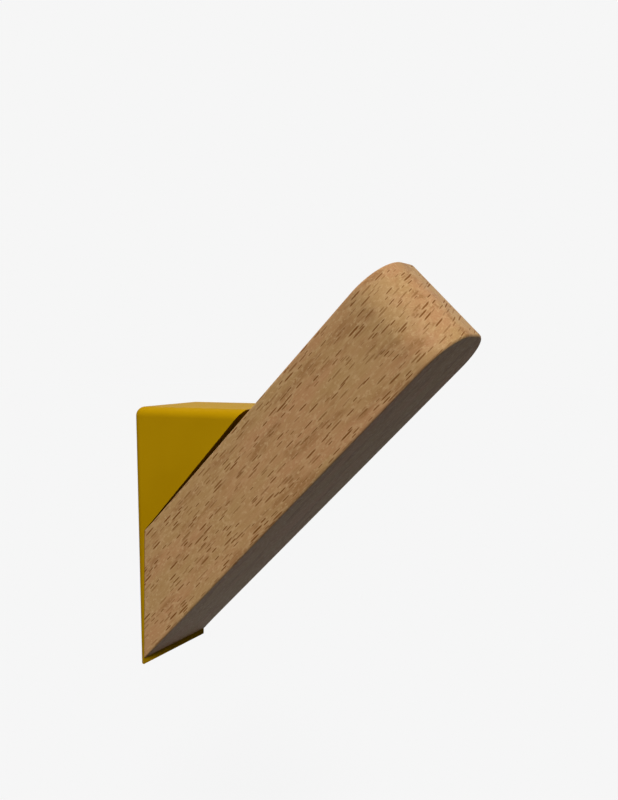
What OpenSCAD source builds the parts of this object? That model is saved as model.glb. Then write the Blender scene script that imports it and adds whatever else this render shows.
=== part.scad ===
/* [Bracket] */
// Height of the bracket against the wall
bracket_height = 58; // [54:0.5:72]
// Width of the bracket across the arm
bracket_width = 22.2; // [20:0.1:30]
// Height of the flat back plate below the wedge
plate_height = 30.5; // [25:0.1:36]
// Thickness of the back plate where the wedge begins
plate_top = 2.65; // [2.4:0.05:3.6]
// Thickness of the back plate at its bottom edge
plate_bottom = 1.55; // [1.3:0.05:2.4]
// Angle of the wedge's sloping face above horizontal
slope_angle = 45.6; // [44.5:0.1:50]
// Wall thickness of the hollow wedge
casting_wall = 2.6; // [2.2:0.1:3.2]
// Radius of the rounded outer edges
edge_radius = 2; // [1:0.1:2.4]
// Radius of the edge along the plate's bottom
bottom_radius = 0.8; // [0.3:0.05:0.9]

/* [Arm] */
// Width of the wooden arm
arm_width = 22.3; // [18:0.1:30]
// Thickness of the arm between its upper and lower faces
arm_thickness = 20.2; // [16:0.1:25]
// Length of the arm along its upper face
arm_length = 80.7; // [60:0.1:110]
// Angle of the arm above horizontal
arm_angle = 44.15; // [42:0.05:44.3]
// Radius of the two upright corners at the arm's outer end
nose_radius = 9; // [4:0.5:9]
// Radius of the arm's long edges
arm_edge = 0.5; // [0.2:0.1:1.5]
// Gap between the arm's mitred end and the plate
mitre_gap = 0.02; // [0.01:0.01:0.05]

/* [Wall plate] */
// Thickness of the wall plate
wall_plate_t = 2; // [1.6:0.1:2.4]
// Width of the wall plate's base
wall_plate_w = 10; // [9:0.5:11]
// Distance between the two wall screw holes
hole_spacing = 8.8; // [8:0.1:9.2]
// Diameter of the wall screw holes
hole_d = 3.8; // [3.2:0.1:4.2]
// Diameter of the countersinks
sink_d = 6.8; // [5.8:0.1:7.2]
// Height of the ears and of the rails they hold
ear_height = 4.2; // [3.4:0.1:4.6]
// Reach of each ear beyond the base
ear_reach = 3; // [2.4:0.1:3]

/* [Travel] */
// Lift that frees the bracket from the wall plate
lift = 4.6; // [3.8:0.1:5]
// Gap between sliding pieces
slide_gap = 0.3; // [0.2:0.05:0.4]
// Gap under the bracket's roof when it rests on the wall plate
seat_gap = 0.2; // [0.1:0.05:0.3]
// Gap between the wall plate's foot and the wedge at full lift
foot_gap = 0.4; // [0.3:0.05:0.6]

/* [Fixings] */
// Diameter of the arm bolt
bolt_d = 4; // [3:0.5:5]
// Distance of the bolt up the slope from the wedge's corner
bolt_along = 12.5; // [11:0.1:14]
// Diameter of the bolt head
bolt_head_d = 7.6; // [6:0.1:8]
// Height of the bolt head
bolt_head_h = 2.2; // [1.6:0.1:2.6]
// Thickness of the flat washer
washer_t = 0.8; // [0.6:0.1:1]
// Diameter of the flat washer
washer_d = 9; // [8:0.1:10]
// Thickness of the spring washer
spring_t = 1; // [0.8:0.1:1.2]
// Diameter of the threaded insert
insert_d = 6; // [5:0.5:7]
// Length of the threaded insert
insert_length = 10; // [8:0.5:12]
// Depth of the threaded insert below the arm's face
insert_sink = 0.6; // [0.3:0.1:1]
// Diameter of the wood screw's shank
screw_d = 3.4; // [3:0.1:4]
// Diameter of the wood screw's head
screw_head_d = 6.4; // [5.6:0.1:7]
// Length of the wood screw
screw_length = 16; // [12:0.5:18]
// Height of the wood screw above the plate's bottom edge
screw_height = 20; // [17:0.5:23]
// Clearance round screws and bolts in their through holes
hole_gap = 0.2; // [0.1:0.05:0.3]
// Clearance of a piece screwed or pressed into wood
grip_gap = 0.02; // [0.01:0.01:0.04]

/* [Wall pad] */
// Height of the rubber pad
pad_height = 9; // [6:0.5:11]
// Width of the rubber pad
pad_width = 14; // [10:0.5:16]
// Thickness of the rubber pad
pad_t = 0.6; // [0.4:0.1:0.8]
// Height of the pad's lower edge above the plate's bottom edge
pad_rise = 4; // [3:0.5:6]
// Radius of the pad's corners
pad_corner = 2; // [1:0.5:3]

/* [Hidden] */
$fn = 64;

// Depth of the bracket along its flat top
top_depth = plate_top + (bracket_height - plate_height) / tan(slope_angle);
// Half width inside the hollow wedge
cavity_half = bracket_width / 2 - casting_wall;
// Height of the hollow's sloping floor at a distance x from the wall
function floor_z(x) = plate_height + (x - plate_top) * tan(slope_angle)
                      + casting_wall / cos(slope_angle);
roof_z = bracket_height - casting_wall;
function floor_x(z) = plate_top + (z - plate_height - casting_wall / cos(slope_angle))
                      / tan(slope_angle);
// Thickness of the back plate at a height z
function plate_x(z) = plate_bottom + (plate_top - plate_bottom) * z / plate_height;

wall_top = roof_z - seat_gap;
wall_foot = floor_z(wall_plate_t) + lift + foot_gap;
origin_h = (wall_top + wall_foot) / 2;
rail_front = wall_plate_t - slide_gap;
ear_z = origin_h - 2.2 - ear_height / 2;
rail_inner = wall_plate_w / 2 + slide_gap + 0.1;
ear_outer = min(wall_plate_w / 2 + ear_reach, cavity_half - slide_gap - 0.1);
web = 1.1;
nose_r = min(nose_radius, arm_width / 2 - 0.1);

bolt_x = plate_top + bolt_along * cos(slope_angle);
bolt_z = plate_height + bolt_along * sin(slope_angle);
// Gap between the slope and the arm where the bolt crosses it
arm_gap = bolt_along * sin(slope_angle - arm_angle);
stack_h = washer_t + spring_t;
bolt_length = stack_h + casting_wall + arm_gap + insert_sink + insert_length - 1;
sink_h = (screw_head_d - screw_d) / 2;

// Raises the wall plate's screw pattern to the origin
module place() { translate([0, 0, -origin_h]) children(); }

// Extrudes an outline drawn in X and Z across the width
module across(width) {
  translate([0, width / 2, 0]) rotate([90, 0, 0])
    linear_extrude(width) children();
}

// Waste left outside a rounded edge that runs along Z
module edge_waste(radius, length) {
  difference() {
    translate([-1, -1, 0]) cube([radius + 1, radius + 1, length]);
    translate([radius, radius, -1]) cylinder(r = radius, h = length + 2);
  }
}

// Waste left outside a ball corner, with the corner at the origin and the solid above it
module corner_waste(radius) {
  difference() {
    translate([-1, -1, -1]) cube(radius + 1);
    translate([radius, radius, radius]) sphere(r = radius);
  }
}

// Frame whose Z leaves the slope at the bolt, out of the wood
module at_bolt() {
  translate([bolt_x, 0, bolt_z]) rotate([0, -slope_angle, 0]) children();
}

module wedge_outline() {
  polygon([[0, 0], [plate_bottom, 0], [plate_top, plate_height],
           [top_depth, bracket_height], [0, bracket_height]]);
}

module cavity_outline() {
  polygon([[-1, floor_z(-1)], [floor_x(roof_z), roof_z], [-1, roof_z]]);
}

module rounded_slab(w, h, t, r) {
  // Slab in Y and Z, t thick in X, with round corners
  rotate([90, 0, 90]) linear_extrude(t) {
    square([w - 2 * r, h], center = true);
    square([w, h - 2 * r], center = true);
    for (sx = [-1, 1], sy = [-1, 1])
      translate([sx * (w / 2 - r), sy * (h / 2 - r)]) circle(r = r);
  }
}

module bracket() {
  color([0.60, 0.45, 0.02]) place() difference() {
    union() {
      difference() {
        across(bracket_width) wedge_outline();
        across(2 * cavity_half) cavity_outline();
      }
      // Rails inside the side walls, held behind the wall plate's ears
      for (s = [-1, 1])
        translate([slide_gap, s > 0 ? rail_inner : -cavity_half - 0.5, ear_z])
          cube([rail_front - slide_gap, cavity_half + 0.5 - rail_inner, ear_height]);
    }
    // Upright edges against the wall
    for (s = [0, 1]) mirror([0, s, 0])
      translate([0, -bracket_width / 2, -1])
        edge_waste(edge_radius, bracket_height + 2);
    // Side edges of the flat top
    for (s = [0, 1]) mirror([0, s, 0])
      translate([-1, -bracket_width / 2, bracket_height])
        rotate([90, 0, 90]) mirror([0, 1, 0])
          edge_waste(edge_radius, top_depth + 2);
    // Rear edge of the flat top
    translate([0, bracket_width / 2 + 1, bracket_height]) rotate([90, 0, 0])
      mirror([0, 1, 0]) edge_waste(edge_radius, bracket_width + 2);
    // Ball corners where those edges meet
    for (s = [0, 1]) mirror([0, s, 0])
      translate([0, -bracket_width / 2, bracket_height]) mirror([0, 0, 1])
        corner_waste(edge_radius);
    // Rear edge of the plate's bottom
    translate([0, bracket_width / 2 + 1, 0]) rotate([90, 0, 0])
      edge_waste(bottom_radius, bracket_width + 2);
    // Bolt hole through the sloping wall
    at_bolt() translate([0, 0, -1])
      cylinder(d = bolt_d + 2 * hole_gap, h = casting_wall + 2);
    // Countersunk hole for the wood screw
    translate([-1, 0, screw_height]) rotate([0, 90, 0])
      cylinder(d = screw_d + 2 * hole_gap, h = plate_top + 2);
    translate([0, 0, screw_height]) rotate([0, 90, 0])
      cylinder(d1 = screw_head_d + 2 * hole_gap, d2 = screw_d + 2 * hole_gap, h = sink_h);
    // Recess for the rubber pad
    translate([-1, 0, pad_rise + pad_height / 2])
      rounded_slab(pad_width + 2 * hole_gap, pad_height + 2 * hole_gap,
                   pad_t + 1, pad_corner + hole_gap);
  }
}

module arm() {
  color([0.62, 0.47, 0.33]) place() difference() {
    // Local X runs out along the arm and local Z leaves its upper face
    translate([plate_x(plate_height) + mitre_gap, 0, plate_height])
      rotate([0, -arm_angle, 0]) intersection() {
        translate([-arm_thickness * 2, 0, -arm_thickness / 2]) rotate([90, 0, 90])
          linear_extrude(arm_length + arm_thickness * 2) {
            square([arm_width - 2 * arm_edge, arm_thickness], center = true);
            square([arm_width, arm_thickness - 2 * arm_edge], center = true);
            for (sx = [-1, 1], sy = [-1, 1])
              translate([sx * (arm_width / 2 - arm_edge), sy * (arm_thickness / 2 - arm_edge)])
                circle(r = arm_edge);
          }
        // Outer end with rounded corners
        translate([0, 0, -arm_thickness - 1]) linear_extrude(arm_thickness + 2) {
          translate([-arm_thickness * 2, -arm_width / 2])
            square([arm_thickness * 2 + arm_length - nose_r, arm_width]);
          translate([-arm_thickness * 2, -arm_width / 2 + nose_r])
            square([arm_thickness * 2 + arm_length, arm_width - 2 * nose_r]);
          for (sy = [-1, 1])
            translate([arm_length - nose_r, sy * (arm_width / 2 - nose_r)])
              circle(r = nose_r, $fn = 96);
        }
      }
    // Mitre that meets the back plate
    across(arm_width + 2) polygon([
      [-arm_thickness * 3, plate_height * 2],
      [plate_x(plate_height * 2) + mitre_gap, plate_height * 2],
      [plate_x(-plate_height) + mitre_gap, -plate_height],
      [-arm_thickness * 3, -plate_height]]);
    // Hole for the threaded insert, and the bolt's way to it
    at_bolt() translate([0, 0, -arm_gap - insert_sink - insert_length - 1])
      cylinder(d = insert_d, h = insert_length + arm_gap + insert_sink + 2);
    // Pilot hole for the wood screw
    translate([0, 0, screw_height]) rotate([0, 90, 0])
      cylinder(d = screw_d + 2 * grip_gap, h = screw_length + 0.5);
  }
}

module wall_plate() {
  color([0.66, 0.67, 0.68]) place() difference() {
    union() {
      translate([0, -wall_plate_w / 2, wall_foot])
        cube([wall_plate_t, wall_plate_w, wall_top - wall_foot]);
      for (s = [0, 1]) mirror([0, s, 0]) {
        // Web that lifts the ear off the wall
        translate([0, wall_plate_w / 2 - web, ear_z])
          cube([wall_plate_t * 2, web, ear_height]);
        translate([wall_plate_t, wall_plate_w / 2 - web, ear_z])
          cube([wall_plate_t, ear_outer - wall_plate_w / 2 + web, ear_height]);
      }
    }
    for (s = [-1, 1]) translate([0, 0, origin_h + s * hole_spacing / 2])
      rotate([0, 90, 0]) {
        translate([0, 0, -1]) cylinder(d = hole_d, h = wall_plate_t + 2);
        translate([0, 0, wall_plate_t - (sink_d - hole_d) / 2])
          cylinder(d1 = hole_d, d2 = sink_d + 0.02, h = (sink_d - hole_d) / 2 + 0.01);
      }
  }
}

module arm_bolt() {
  color([0.55, 0.55, 0.57]) place() at_bolt() difference() {
    union() {
      translate([0, 0, casting_wall + stack_h - bolt_length])
        cylinder(d = bolt_d - 2 * grip_gap, h = bolt_length + 0.5);
      translate([0, 0, casting_wall + stack_h]) rotate_extrude() intersection() {
        // Low domed head
        translate([0, bolt_head_h - bolt_head_d * 1.1]) circle(r = bolt_head_d * 1.1, $fn = 128);
        square([bolt_head_d / 2, bolt_head_h]);
      }
    }
    translate([0, 0, casting_wall + stack_h + bolt_head_h - 1.4])
      cylinder(d = bolt_d * 0.72, h = 2, $fn = 6);
  }
}

module spring_washer() {
  color([0.5, 0.5, 0.52]) place() at_bolt() translate([0, 0, casting_wall + washer_t])
    difference() {
      cylinder(d = bolt_head_d - 0.2, h = spring_t);
      translate([0, 0, -1]) cylinder(d = bolt_d + 2 * hole_gap, h = spring_t + 2);
      translate([0, -0.4, -1]) cube([bolt_head_d, 0.8, spring_t + 2]);
    }
}

module flat_washer() {
  color([0.72, 0.72, 0.74]) place() at_bolt() translate([0, 0, casting_wall])
    difference() {
      cylinder(d = washer_d, h = washer_t);
      translate([0, 0, -1]) cylinder(d = bolt_d + 2 * hole_gap, h = washer_t + 2);
    }
}

module arm_insert() {
  color([0.72, 0.55, 0.25]) place() at_bolt()
    translate([0, 0, -arm_gap - insert_sink - insert_length]) difference() {
      cylinder(d = insert_d - 2 * grip_gap, h = insert_length);
      translate([0, 0, -1]) cylinder(d = bolt_d, h = insert_length + 2);
    }
}

module arm_screw() {
  color([0.70, 0.62, 0.35]) place() translate([0.1, 0, screw_height])
    rotate([0, 90, 0]) difference() {
      rotate_extrude() polygon([
        [0, 0], [screw_head_d / 2, 0], [screw_d / 2, sink_h],
        [screw_d / 2, screw_length - screw_d], [0, screw_length]]);
      for (a = [0, 90]) rotate([0, 0, a]) translate([-1.6, -0.35, -1]) cube([3.2, 0.7, 1.9]);
    }
}

module wall_pad() {
  color([0.10, 0.10, 0.10]) place() translate([0, 0, pad_rise + pad_height / 2])
    rounded_slab(pad_width, pad_height, pad_t, pad_corner);
}

bracket();
arm();
wall_plate();
arm_bolt();
spring_washer();
flat_washer();
arm_insert();
arm_screw();
wall_pad();
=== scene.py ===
import bpy
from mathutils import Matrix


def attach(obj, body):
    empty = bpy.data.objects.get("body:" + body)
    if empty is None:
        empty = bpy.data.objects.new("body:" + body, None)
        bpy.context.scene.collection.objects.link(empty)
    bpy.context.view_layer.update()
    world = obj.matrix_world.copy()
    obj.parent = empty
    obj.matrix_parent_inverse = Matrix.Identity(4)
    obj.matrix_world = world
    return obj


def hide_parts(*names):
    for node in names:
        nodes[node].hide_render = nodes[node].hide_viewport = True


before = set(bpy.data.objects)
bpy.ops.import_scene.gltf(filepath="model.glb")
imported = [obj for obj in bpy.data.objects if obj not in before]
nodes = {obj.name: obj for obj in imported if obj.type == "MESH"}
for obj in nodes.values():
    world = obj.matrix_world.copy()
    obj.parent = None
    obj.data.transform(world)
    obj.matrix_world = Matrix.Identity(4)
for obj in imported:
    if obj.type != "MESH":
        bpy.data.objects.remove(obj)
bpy.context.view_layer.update()        # bodies, nodes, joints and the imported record

import bpy, math
import numpy as np
from mathutils import Vector

mm = 0.001
scene = bpy.context.scene
print("frame loaded:", ", ".join(sorted(nodes)))


cameraView = {
    "place": (119.406, -141.998, 21.940),   # mm, in the part's frame
    "turn": (86.7636, 0.6627, 29.5456),     # degrees about X, Y and Z
    "lens": 35.148, "sensor": 36,           # mm, the sensor on the long side
    "near": 0.005, "far": 20,               # metres, what the camera clips
}


def makeCamera(v):
    data = bpy.data.cameras.new("viewCamera")
    data.sensor_fit = "AUTO"
    data.sensor_width = v["sensor"]
    data.lens = v["lens"]
    data.clip_start, data.clip_end = v["near"], v["far"]
    cam = bpy.data.objects.new("viewCamera", data)
    cam.location = [c * mm for c in v["place"]]
    cam.rotation_euler = [math.radians(a) for a in v["turn"]]
    scene.collection.objects.link(cam)
    scene.camera = cam


makeCamera(cameraView)
print("camera placed")


# Small helpers for materials; a value may be a number or another node's output

def newMaterial(name):
    mat = bpy.data.materials.new(name)
    mat.use_nodes = True
    tree = mat.node_tree
    tree.nodes.clear()
    out = tree.nodes.new("ShaderNodeOutputMaterial")
    shader = tree.nodes.new("ShaderNodeBsdfPrincipled")
    tree.links.new(shader.outputs[0], out.inputs[0])
    return mat, tree, shader


def put(tree, socket, value):
    if hasattr(value, "links"):
        tree.links.new(value, socket)
    else:
        socket.default_value = value


def math2(tree, op, a, b):
    n = tree.nodes.new("ShaderNodeMath")
    n.operation = op
    put(tree, n.inputs[0], a)
    put(tree, n.inputs[1], b)
    return n.outputs[0]


def objectCoords(tree, turnY=0.0):
    tc = tree.nodes.new("ShaderNodeTexCoord")
    m = tree.nodes.new("ShaderNodeMapping")
    m.inputs["Rotation"].default_value = (0, turnY, 0)
    tree.links.new(tc.outputs["Object"], m.inputs["Vector"])
    return m.outputs[0]


def stretch(tree, vec, scale, move=(0, 0, 0)):
    m = tree.nodes.new("ShaderNodeMapping")
    m.inputs["Scale"].default_value = scale
    m.inputs["Location"].default_value = move
    put(tree, m.inputs["Vector"], vec)
    return m.outputs[0]


def noise(tree, vec, scale, detail, rough=0.5):
    n = tree.nodes.new("ShaderNodeTexNoise")
    put(tree, n.inputs["Vector"], vec)
    n.inputs["Scale"].default_value = scale
    n.inputs["Detail"].default_value = detail
    n.inputs["Roughness"].default_value = rough
    return n.outputs["Fac"]


def remap(tree, value, a, b, c=0.0, d=1.0):
    # A smooth step: a to b becomes c to d
    n = tree.nodes.new("ShaderNodeMapRange")
    n.interpolation_type = "SMOOTHSTEP"
    put(tree, n.inputs["Value"], value)
    for k, x in zip(("From Min", "From Max", "To Min", "To Max"), (a, b, c, d)):
        n.inputs[k].default_value = x
    return n.outputs[0]


def mixValue(tree, fac, a, b):
    n = tree.nodes.new("ShaderNodeMix")
    n.data_type = "FLOAT"
    put(tree, n.inputs[0], fac)
    put(tree, n.inputs[2], a)
    put(tree, n.inputs[3], b)
    return n.outputs[0]


def mixColour(tree, fac, a, b):
    n = tree.nodes.new("ShaderNodeMix")
    n.data_type, n.blend_type, n.clamp_factor = "RGBA", "MIX", True
    put(tree, n.inputs[0], fac)
    for s, v in ((n.inputs[6], a), (n.inputs[7], b)):
        put(tree, s, v if hasattr(v, "links") else (*v, 1.0))
    return n.outputs[2]


def bump(tree, shader, height, strength, depth):
    n = tree.nodes.new("ShaderNodeBump")
    n.inputs["Strength"].default_value = strength
    n.inputs["Distance"].default_value = depth
    put(tree, n.inputs["Height"], height)
    tree.links.new(n.outputs[0], shader.inputs["Normal"])


def srgb(r, g, b):
    # Screen values 0 to 255 as linear light
    return tuple(c / 12.92 if c <= 0.04045 else ((c + 0.055) / 1.055) ** 2.4
                 for c in (r / 255, g / 255, b / 255))


beechLook = {
    "grainAngle": 44.15,            # degrees, the arm's rise
    "rayLean": 0.33,                # lean of the ray planes across the arm
    "rayStagger": 0.7,              # slip of the strokes along the grain, across the arm
    "tan": srgb(155, 121, 78),
    "rust": srgb(134, 94, 57),
    "blush": srgb(160, 118, 80),
    "deep": srgb(136, 100, 60),
    "pale": srgb(180, 148, 106),
    "fleck": srgb(108, 66, 30),
    "roughness": 0.48,
    "specular": 0.025,
    "bumpStrength": 0.40, "bumpDepth": 0.00006,     # depth in metres
    "fleckShare": 0.95,             # how fully a stroke takes its own colour
    "rimShare": 0.40,               # and its paler rim
    "faceShare": 0.6,               # strokes on the top and underside, next to the sides'
    "wander": 0.0012,               # metres that the rows of strokes stray
    "scatter": 0.95,                # 0 is a plain grid of strokes, 1 fully scattered
    "bluntness": 3.5,               # 2 is an oval, more is squarer at the ends
    "strokeSize": (0.65, 1.10),     # least and most, next to the width below
    "strokeDepth": (0.40, 1.0),     # faintest and strongest stroke
    # Strokes: cell and width in mm, length over width, seed, share of the cells that have one
    "layers": [
        {"cell": 0.86, "slender": 8.5, "width": 0.38, "seed": 0.031, "keep": 0.68},
        {"cell": 0.80, "slender": 6.0, "width": 0.32, "seed": 0.087, "keep": 0.36},
        {"cell": 1.50, "slender": 10.0, "width": 0.38, "seed": 0.143, "keep": 0.55},
    ],
    "faceLayer": {"cell": 1.5, "slender": 6.0, "width": 0.30, "seed": 0.211, "keep": 0.35},
    # Repeats per metre along the grain, across it and through it
    "bandScale": (35, 150, 150),
    "streakScale": (95, 400, 400),
    "fibreScale": (260, 2600, 2600),
    "poreScale": (1100, 4800, 4800),
    "glintScale": (1100, 1900, 1900),
    "swayScale": 90, "swayStretch": (0.35, 1, 1),
}


def rayFlecks(tree, look, along, across, cell, slender, width, seed, keep):
    # Short strokes: a point in every cell of a grid stretched along the grain, the distance
    # to it measured so that equal distances are long blunt ovals, dark inside and with a
    # paler rim. Each cell's random colour picks the stroke's size, whether it is there and
    # how strong it is.
    v = tree.nodes.new("ShaderNodeTexVoronoi")
    v.voronoi_dimensions, v.distance = "2D", "MINKOWSKI"
    v.inputs["Scale"].default_value = 1.0 / (cell * mm)
    v.inputs["Randomness"].default_value = look["scatter"]
    v.inputs["Exponent"].default_value = look["bluntness"]
    c = tree.nodes.new("ShaderNodeCombineXYZ")
    squeezed = math2(tree, "MULTIPLY", along, 1.0 / slender)
    put(tree, c.inputs[0], math2(tree, "ADD", squeezed, seed))
    put(tree, c.inputs[1], math2(tree, "ADD", across, seed * 0.37))
    tree.links.new(c.outputs[0], v.inputs["Vector"])
    chance = tree.nodes.new("ShaderNodeSeparateColor")
    tree.links.new(v.outputs["Color"], chance.inputs[0])
    size = remap(tree, chance.outputs[0], 0.0, 1.0, *look["strokeSize"])
    half = math2(tree, "MULTIPLY", size, width / 2 / cell)
    reach = math2(tree, "DIVIDE", v.outputs["Distance"], half)      # 1 at the stroke's edge
    chosen = math2(tree, "GREATER_THAN", keep, chance.outputs[1])
    depth = remap(tree, chance.outputs[2], 0.0, 1.0, *look["strokeDepth"])
    strength = math2(tree, "MULTIPLY", chosen, depth)
    dark = math2(tree, "MULTIPLY", remap(tree, reach, 1.05, 0.55), strength)
    ring = math2(tree, "MULTIPLY", remap(tree, reach, 2.2, 1.2), remap(tree, reach, 0.7, 1.1))
    return dark, math2(tree, "MULTIPLY", ring, strength)


def beech(look):
    mat, tree, shader = newMaterial("steamedBeech")
    coord = objectCoords(tree, turnY=math.radians(look["grainAngle"]))
    sway = noise(tree, stretch(tree, coord, look["swayStretch"]), look["swayScale"], 2)
    wander = math2(tree, "MULTIPLY", math2(tree, "SUBTRACT", sway, 0.5), look["wander"])
    grain = tree.nodes.new("ShaderNodeSeparateXYZ")
    tree.links.new(coord, grain.inputs[0])
    forward, across, high = grain.outputs
    # On the sides and the nose the strokes are where leaning planes come out of the wood;
    # on the top and underside they lie along the grain
    slip = math2(tree, "MULTIPLY", across, look["rayStagger"])
    along = math2(tree, "ADD", forward, slip)
    plane = math2(tree, "SUBTRACT", high, math2(tree, "MULTIPLY", across, look["rayLean"]))
    sideFleck = sideRim = None
    for layer in look["layers"]:
        dark, rim = rayFlecks(tree, look, along, math2(tree, "ADD", plane, wander), **layer)
        sideFleck = dark if sideFleck is None else math2(tree, "MAXIMUM", sideFleck, dark)
        sideRim = rim if sideRim is None else math2(tree, "MAXIMUM", sideRim, rim)
    strayed = math2(tree, "ADD", across, wander)
    faceFleck = rayFlecks(tree, look, forward, strayed, **look["faceLayer"])[0]
    faceFleck = math2(tree, "MULTIPLY", faceFleck, look["faceShare"])
    attr = tree.nodes.new("ShaderNodeAttribute")
    attr.attribute_name = "flatFace"
    fleck = mixValue(tree, attr.outputs["Fac"], sideFleck, faceFleck)
    rim = mixValue(tree, attr.outputs["Fac"], sideRim, 0.0)
    # Broad soft bands along the grain, rusty streaks, fibres, fine pores, and glint cells whose
    # pale specks are painted glints (a painted highlight)
    bands = noise(tree, stretch(tree, coord, look["bandScale"]), 1.0, 3, 0.55)
    streak = noise(tree, stretch(tree, coord, look["streakScale"], (0.3, 0.1, 0.7)), 1.0, 3, 0.55)
    fibre = noise(tree, stretch(tree, coord, look["fibreScale"]), 1.0, 3, 0.6)
    pore = noise(tree, stretch(tree, coord, look["poreScale"]), 1.0, 2, 0.5)
    glintAndPaintedSparkle = noise(tree, stretch(tree, coord, look["glintScale"], (0.2, 0.5, 0.1)), 1.0, 2, 0.6)
    colour = mixColour(tree, remap(tree, bands, 0.42, 0.62), look["tan"], look["blush"])
    # The last entry mixes pale specks into the colour where the glint cells are: painted glints,
    # a painted highlight, not the wood's own tone
    for pattern, start, full, share, tint in (
            (streak, 0.48, 0.66, 0.75, "rust"),
            (fibre, 0.35, 0.75, 0.30, "pale"),
            (pore, 0.56, 0.74, 0.35, "deep"),
            (glintAndPaintedSparkle, 0.54, 0.70, 0.55, "pale")):
        fac = remap(tree, pattern, start, full, 0.0, share)
        colour = mixColour(tree, fac, colour, look[tint])
    fac = math2(tree, "MULTIPLY", rim, look["rimShare"])
    colour = mixColour(tree, fac, colour, look["pale"])
    fac = math2(tree, "MULTIPLY", fleck, look["fleckShare"])
    colour = mixColour(tree, fac, colour, look["fleck"])
    tree.links.new(colour, shader.inputs["Base Color"])
    # Glinting cells are smoother; the strokes are a little duller, and sunk
    base = look["roughness"]
    smoother = remap(tree, glintAndPaintedSparkle, 0.3, 0.7, base + 0.06, base - 0.08)
    rough = math2(tree, "ADD", smoother, math2(tree, "MULTIPLY", fleck, 0.15))
    tree.links.new(rough, shader.inputs["Roughness"])
    height = math2(tree, "SUBTRACT", math2(tree, "MULTIPLY", fibre, 0.30), fleck)
    bump(tree, shader, height, look["bumpStrength"], look["bumpDepth"])
    shader.inputs["Specular IOR Level"].default_value = look["specular"]
    return mat


coatLook = {
    "mustard": srgb(152, 115, 2),
    "thin": srgb(158, 121, 4),          # where the coat is thinner
    "speck": srgb(120, 88, 2),
    "roughness": 0.40,
    "specular": 0.004, "specularTint": (1.0, 0.92, 0.15, 1.0),
    "peelScale": 2600, "driftScale": 55, "speckScale": 9000,    # repeats per metre
    "bumpStrength": 0.10, "bumpDepth": 0.00003,
}


def powderCoat(look):
    mat, tree, shader = newMaterial("mustardPowderCoat")
    coord = objectCoords(tree)
    peel = noise(tree, coord, look["peelScale"], 2, 0.45)
    drift = noise(tree, coord, look["driftScale"], 3, 0.5)
    speck = noise(tree, coord, look["speckScale"], 1, 0.5)
    colour = mixColour(tree, remap(tree, drift, 0.35, 0.7), look["mustard"], look["thin"])
    colour = mixColour(tree, remap(tree, speck, 0.62, 0.8, 0.0, 0.18), colour, look["speck"])
    tree.links.new(colour, shader.inputs["Base Color"])
    base = look["roughness"]
    rough = remap(tree, peel, 0.3, 0.7, base - 0.04, base + 0.05)
    tree.links.new(rough, shader.inputs["Roughness"])
    bump(tree, shader, peel, look["bumpStrength"], look["bumpDepth"])
    shader.inputs["Specular IOR Level"].default_value = look["specular"]
    shader.inputs["Specular Tint"].default_value = look["specularTint"]
    return mat


metalLooks = {      # wall plate and flat washer, bolt and spring washer, insert, screw
    "brightZinc": {"light": (0.62, 0.64, 0.66), "dark": (0.44, 0.47, 0.52), "roughness": 0.30},
    "oiledSteel": {"light": (0.36, 0.36, 0.37), "dark": (0.20, 0.20, 0.21), "roughness": 0.36},
    "turnedBrass": {"light": (0.72, 0.50, 0.20), "dark": (0.58, 0.38, 0.13), "roughness": 0.28},
    "yellowZinc": {"light": (0.66, 0.56, 0.28), "dark": (0.60, 0.48, 0.34), "roughness": 0.32},
}
metalGrain = {
    "brush": (300, 300, 5000), "bloomScale": 420,       # repeats per metre
    "bumpStrength": 0.12, "bumpDepth": 0.00002,
}


def metal(name, grain):
    look = metalLooks[name]
    mat, tree, shader = newMaterial(name)
    coord = objectCoords(tree)
    brushed = noise(tree, stretch(tree, coord, grain["brush"]), 1.0, 3, 0.6)
    bloom = noise(tree, coord, grain["bloomScale"], 4, 0.6)
    colour = mixColour(tree, remap(tree, bloom, 0.35, 0.7), look["light"], look["dark"])
    tree.links.new(colour, shader.inputs["Base Color"])
    base = look["roughness"]
    rough = math2(tree, "ADD", remap(tree, brushed, 0.3, 0.7, base - 0.06, base + 0.08),
                  remap(tree, bloom, 0.5, 0.8, 0.0, 0.08))
    tree.links.new(rough, shader.inputs["Roughness"])
    bump(tree, shader, brushed, grain["bumpStrength"], grain["bumpDepth"])
    shader.inputs["Metallic"].default_value = 1.0
    return mat


rubberLook = {
    "clean": (0.018, 0.018, 0.018), "dusty": (0.045, 0.044, 0.042),
    "smooth": 0.72, "dull": 0.9,                        # roughness
    "pebbleScale": 2400, "dustScale": 380,              # repeats per metre
    "bumpStrength": 0.35, "bumpDepth": 0.00005,
}


def rubber(look):
    mat, tree, shader = newMaterial("padRubber")
    coord = objectCoords(tree)
    pebble = tree.nodes.new("ShaderNodeTexVoronoi")
    pebble.inputs["Scale"].default_value = look["pebbleScale"]
    put(tree, pebble.inputs["Vector"], coord)
    dust = noise(tree, coord, look["dustScale"], 4, 0.6)
    colour = mixColour(tree, remap(tree, dust, 0.45, 0.75), look["clean"], look["dusty"])
    tree.links.new(colour, shader.inputs["Base Color"])
    rough = remap(tree, dust, 0.3, 0.7, look["smooth"], look["dull"])
    tree.links.new(rough, shader.inputs["Roughness"])
    bump(tree, shader, pebble.outputs["Distance"], look["bumpStrength"], look["bumpDepth"])
    return mat


def dress(node, material):
    obj = nodes[node]
    obj.data.materials.clear()
    obj.data.materials.append(material)


coat = powderCoat(coatLook)
wood = beech(beechLook)
zinc = metal("brightZinc", metalGrain)
steel = metal("oiledSteel", metalGrain)
brass = metal("turnedBrass", metalGrain)
yellowZinc = metal("yellowZinc", metalGrain)
dress("bracket", coat)
dress("wall_plate", zinc)
dress("flat_washer", zinc)
dress("arm_bolt", steel)
dress("spring_washer", steel)
dress("arm_insert", brass)
dress("arm_screw", yellowZinc)
dress("wall_pad", rubber(rubberLook))
print("finishes made")


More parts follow.
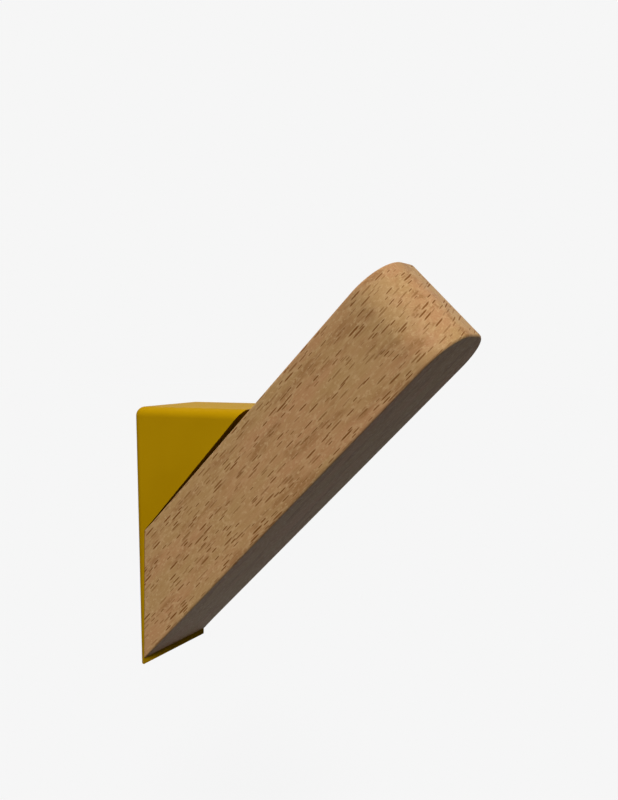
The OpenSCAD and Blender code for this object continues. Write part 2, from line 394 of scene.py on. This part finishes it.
armShape = {                # mm and degrees, the arm as the CAD has it
    "width": 22.3, "thick": 20.2, "length": 80.7, "angle": 44.15,
    "noseRadius": 9.0,      # of the two upright corners at the outer end
    "plateHeight": 30.5, "plateTop": 2.65, "plateBottom": 1.55, "gap": 0.02,
    "originHeight": 46.87616,
    "edge": 0.55,           # radius along the long edges and round the nose
    "mitreEdge": 0.16,      # radius round the mitred end
    "cornerEdge": 0.35,     # radius of the mitre's two upright corners
    "edgeFade": 3.0,        # over which the long edges sharpen towards the mitre
    "noseSteps": 30, "flatSteps": 6, "sideSteps": 40, "cornerSteps": 5,
    "edgeSteps": 7, "faceSteps": 16,
}


def makeArm(s):
    # Plan outline: two straight sides, two quarter circles with a short flat between them
    # at the nose, and the mitre across the end, carried down through the thickness. Near
    # both faces the outline shrinks by r(1 - sin t) while it moves in by r(1 - cos t),
    # which rounds the edge. The mitre leans, so points short of the nose are slid along
    # the arm in proportion.
    half, thick = s["width"] / 2, s["thick"]
    noseR, cornerR = s["noseRadius"], s["cornerEdge"]
    start = s["length"] - noseR                     # where the nose begins
    t = np.linspace(0, np.pi / 2, s["noseSteps"])
    turn = np.concatenate([t - np.pi / 2, np.zeros(s["flatSteps"]), t])
    flat = np.linspace(-1, 1, s["flatSteps"] + 2)[1:-1]
    shift = np.concatenate([-np.ones(len(t)), flat, np.ones(len(t))])
    noseN = np.stack([np.cos(turn), np.sin(turn)], 1)
    nose = np.stack([start + noseR * noseN[:, 0],
                     shift * (half - noseR) + noseR * noseN[:, 1]], 1)
    u = np.linspace(0, 1, s["sideSteps"] + 2)[1:-1]
    far = np.stack([start + (cornerR - start) * u, np.full_like(u, half)], 1)
    near = np.stack([cornerR + (start - cornerR) * u, np.full_like(u, -half)], 1)
    q = np.linspace(0, np.pi / 2, s["cornerSteps"])
    farN = np.stack([-np.sin(q), np.cos(q)], 1)
    nearN = np.stack([-np.cos(q), -np.sin(q)], 1)
    farCorner = np.array([cornerR, half - cornerR]) + cornerR * farN
    nearCorner = np.array([cornerR, cornerR - half]) + cornerR * nearN
    plan = np.concatenate([nose, far, farCorner, nearCorner, near])
    normal = np.concatenate([noseN, np.tile([0, 1.0], (len(u), 1)), farN, nearN,
                             np.tile([0, -1.0], (len(u), 1))])
    radius = np.concatenate([np.full(len(nose) + len(far), s["edge"]),
                             np.full(len(farCorner) + len(nearCorner), s["mitreEdge"]),
                             np.full(len(near), s["edge"])])
    fade = np.clip(plan[:, 0] / s["edgeFade"], 0, 1)
    radius = s["mitreEdge"] + (radius - s["mitreEdge"]) * fade
    # Levels from the top face down: its rounded edge, the side, the lower rounded edge
    a = np.linspace(0, np.pi / 2, s["edgeSteps"] + 1)
    inset = np.concatenate([1 - np.sin(a), np.zeros(s["faceSteps"] - 1), 1 - np.cos(a)])
    level = np.zeros((len(inset), len(plan)))
    n = s["edgeSteps"] + 1
    mid = np.linspace(0, 1, s["faceSteps"] + 1)[1:-1, None]
    level[:n] = -radius[None] * (1 - np.cos(a))[:, None]
    level[n:n + len(mid)] = -radius[None] + mid * (2 * radius[None] - thick)
    level[-n:] = -thick + radius[None] * (1 - np.sin(a))[:, None]
    along = plan[None, :, 0] - inset[:, None] * radius[None] * normal[None, :, 0]
    side = plan[None, :, 1] - inset[:, None] * radius[None] * normal[None, :, 1]
    rise = math.radians(s["angle"])
    cosR, sinR = math.cos(rise), math.sin(rise)
    taper = (s["plateTop"] - s["plateBottom"]) / s["plateHeight"]
    # How far along the arm the mitre meets each level
    cut = (taper * level * cosR + level * sinR) / (cosR - taper * sinR)
    share = np.clip((start - along) / start, 0, None)
    along = along + share * cut
    x = s["plateTop"] + s["gap"] + along * cosR - level * sinR
    z = s["plateHeight"] + along * sinR + level * cosR - s["originHeight"]
    rings = np.stack([x, side, z], -1) * mm
    rows, cols = level.shape
    i, j = np.meshgrid(np.arange(rows - 1), np.arange(cols), indexing="ij")
    j2 = (j + 1) % cols
    quads = np.stack([i * cols + j, (i + 1) * cols + j, (i + 1) * cols + j2, i * cols + j2], -1)
    ring = np.arange(cols)
    caps = [ring.tolist(), ((rows - 1) * cols + ring)[::-1].tolist()]
    faces = quads.reshape(-1, 4).tolist() + caps
    # 1 on the top and underside, 0 on the sides, blended round the edges
    flatness = np.zeros((rows, cols))
    flatness[:n] = np.sin(np.pi / 2 - a)[:, None] ** 2
    flatness[-n:] = np.sin(a)[:, None] ** 2
    return meshFrom("woodenArm", rings.reshape(-1, 3), faces, {"flatFace": flatness.ravel()})


def meshFrom(name, verts, faces, values):
    mesh = bpy.data.meshes.new(name)
    mesh.from_pydata(verts.tolist(), [], faces)
    for key, data in values.items():
        layer = mesh.attributes.new(key, "FLOAT", "POINT")
        layer.data.foreach_set("value", data.astype(np.float32))
    mesh.polygons.foreach_set("use_smooth", np.ones(len(mesh.polygons), bool))
    mesh.update()
    obj = bpy.data.objects.new(name, mesh)
    scene.collection.objects.link(obj)
    return obj


arm = makeArm(armShape)
arm.data.materials.append(wood)
even = arm.modifiers.new("evenShading", "WEIGHTED_NORMAL")
even.keep_sharp = True
even.weight = 100           # the broad faces keep flat shading
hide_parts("arm")
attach(arm, "hook")
print("arm built")


stageLook = {
    "floorDepth": -0.24,        # metres, well below the hook
    "floorSize": 12.0,
    "backdrop": srgb(246, 246, 246)[0],
    "floorShade": 0.05,         # part of the floor's tone that shadows can darken
    "keyFrom": (0.46, -0.66, 0.62), "keyPower": 4.02, "keyAngle": 14,
    "topFrom": (-0.35, 0.15, 0.92), "topPower": 2.0, "topAngle": 50,
    "ambient": (0.068, 0.069, 0.077),
}


def sun(name, toward, power, angle):
    data = bpy.data.lights.new(name, "SUN")
    data.energy, data.angle = power, math.radians(angle)
    obj = bpy.data.objects.new(name, data)
    obj.rotation_euler = Vector(toward).to_track_quat("Z", "Y").to_euler()
    scene.collection.objects.link(obj)


def backdropSeen(tree):
    # 1 for what the camera, a reflection or a clear material sees, 0 for the light it casts
    path = tree.nodes.new("ShaderNodeLightPath").outputs
    seen = math2(tree, "MAXIMUM", path["Is Camera Ray"], path["Is Glossy Ray"])
    return math2(tree, "MAXIMUM", seen, path["Is Transmission Ray"])


def makeFloor(s):
    # A plain square. Its own shading is weak, and a glow makes up the backdrop's tone.
    verts = np.array([[-1, -1], [1, -1], [1, 1], [-1, 1]]) * s["floorSize"] / 2
    verts = np.column_stack([verts, np.full(4, s["floorDepth"])])
    floor = meshFrom("paleFloor", verts, [[0, 1, 2, 3]], {})
    mat = bpy.data.materials.new("paleFloor")
    mat.use_nodes = True
    tree = mat.node_tree
    tree.nodes.clear()
    out = tree.nodes.new("ShaderNodeOutputMaterial")
    matt = tree.nodes.new("ShaderNodeBsdfDiffuse")
    matt.inputs["Color"].default_value = (s["floorShade"],) * 3 + (1,)
    glow = tree.nodes.new("ShaderNodeEmission")
    glow.inputs["Color"].default_value = (1, 1, 1, 1)
    keyShare = s["keyPower"] * Vector(s["keyFrom"]).normalized().z
    topShare = s["topPower"] * Vector(s["topFrom"]).normalized().z
    lit = s["floorShade"] * ((keyShare + topShare) / math.pi + s["ambient"][1])
    strength = math2(tree, "MULTIPLY", backdropSeen(tree), s["backdrop"] - lit)
    tree.links.new(strength, glow.inputs["Strength"])
    add = tree.nodes.new("ShaderNodeAddShader")
    tree.links.new(matt.outputs[0], add.inputs[0])
    tree.links.new(glow.outputs[0], add.inputs[1])
    tree.links.new(add.outputs[0], out.inputs[0])
    floor.data.materials.append(mat)


def makeWorld(s):
    world = bpy.data.worlds.new("studio")
    scene.world = world
    world.use_nodes = True
    tree = world.node_tree
    tree.nodes.clear()
    out = tree.nodes.new("ShaderNodeOutputWorld")
    back = tree.nodes.new("ShaderNodeBackground")
    tone = mixColour(tree, backdropSeen(tree), s["ambient"], (s["backdrop"],) * 3)
    tree.links.new(tone, back.inputs["Color"])
    tree.links.new(back.outputs[0], out.inputs[0])


makeFloor(stageLook)
makeWorld(stageLook)
sun("keyLight", stageLook["keyFrom"], stageLook["keyPower"], stageLook["keyAngle"])
sun("topLight", stageLook["topFrom"], stageLook["topPower"], stageLook["topAngle"])
scene.view_settings.view_transform = "Standard"
print("stage lit")
